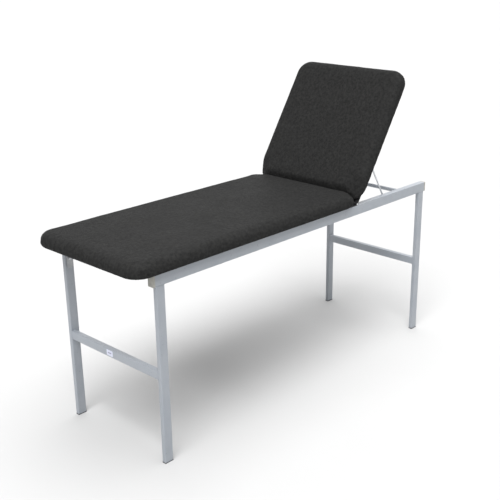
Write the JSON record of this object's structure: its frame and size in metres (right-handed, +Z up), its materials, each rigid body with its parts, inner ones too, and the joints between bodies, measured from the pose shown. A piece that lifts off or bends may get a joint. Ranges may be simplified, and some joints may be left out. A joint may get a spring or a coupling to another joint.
{
  "type": "examination couch",
  "caption": "Free-standing examination couch with a rectangular-tube steel frame, a long padded body section and a hinged padded backrest held up by a swinging prop.",
  "frame": {"origin": "on the floor, at the centre of the couch's own length and width", "axes": "+X from the foot end towards the head end with the backrest, +Y towards the far side, +Z up from the floor"},
  "size_m": [1.742, 0.598, 1.2711],
  "materials": {
    "frame_paint": "satin silver-grey powder coat",
    "foot_plastic": "moulded charcoal plastic",
    "cap_plastic": "moulded warm grey plastic",
    "zinc_fasteners": "bright zinc plate",
    "zinc_prop": "bright zinc plate",
    "label": "blank pale plate, no lettering",
    "rubber": "black rubber",
    "plywood": "plain plywood",
    "foam": "open-cell polyurethane foam",
    "vinyl": "black fine-grain coated fabric, matte",
    "lining": "black non-woven lining",
    "hinge_black": "black painted steel",
    "bar_cap_plastic": "black plastic"
  },
  "bodies": {
    "frame": {"leg_foot_near": "frame_paint", "leg_foot_far": "frame_paint", "leg_head_near": "frame_paint", "leg_head_far": "frame_paint", "foot_plug_foot_near": "foot_plastic", "foot_plug_foot_far": "foot_plastic", "foot_plug_head_near": "foot_plastic", "foot_plug_head_far": "foot_plastic", "crossbar_foot": "frame_paint", "crossbar_head": "frame_paint", "rail_near": "frame_paint", "rail_far": "frame_paint", "rail_cap_foot_near": "cap_plastic", "rail_cap_foot_far": "cap_plastic", "rail_cap_head_near": "cap_plastic", "rail_cap_head_far": "cap_plastic", "head_tie": "frame_paint", "leg_bracket_near": "zinc_fasteners", "leg_bracket_far": "zinc_fasteners", "bracket_bolts": "zinc_fasteners", "blank_label": "label", "rest_strip_near": "rubber", "rest_strip_far": "rubber", "seat_tabs_near": "frame_paint", "seat_tabs_far": "frame_paint", "seat_screws": "zinc_fasteners", "body_board": "plywood", "body_foam": "foam", "body_cover": "vinyl", "body_lining": "lining", "hinge_fixed_near": "hinge_black", "hinge_fixed_far": "hinge_black", "hinge_pin_near": "zinc_fasteners", "hinge_pin_far": "zinc_fasteners", "hinge_screws_frame": "zinc_fasteners", "prop_stud_near": "zinc_fasteners", "prop_stud_far": "zinc_fasteners"},
    "backrest": {"back_board": "plywood", "back_foam": "foam", "back_cover": "vinyl", "back_lining": "lining", "back_bumpers": "rubber", "hinge_moving_near": "hinge_black", "hinge_moving_far": "hinge_black", "hinge_screws_back": "zinc_fasteners", "rack_near": "zinc_prop", "rack_far": "zinc_prop", "rack_screws": "zinc_fasteners"},
    "prop_frame": {"prop_leg_near": "zinc_prop", "prop_leg_far": "zinc_prop", "prop_bar": "zinc_prop", "prop_bar_caps": "bar_cap_plastic"}
  },
  "joints": [
    {"name": "backrest_tilt", "type": "hinge", "parent": "frame", "child": "backrest", "pos_m": [0.347, 0, 0.7425], "axis": [0, -1, 0], "range_deg": [-57.2, 0]},
    {"name": "prop_swing", "type": "hinge", "parent": "frame", "child": "prop_frame", "pos_m": [0.587, 0, 0.7125], "axis": [0, -1, 0], "range_deg": [-118.2, 0]}
  ],
  "couplings": [
    {"joint": "prop_swing", "follows": "backrest_tilt", "ratio": 2.0648}
  ]
}
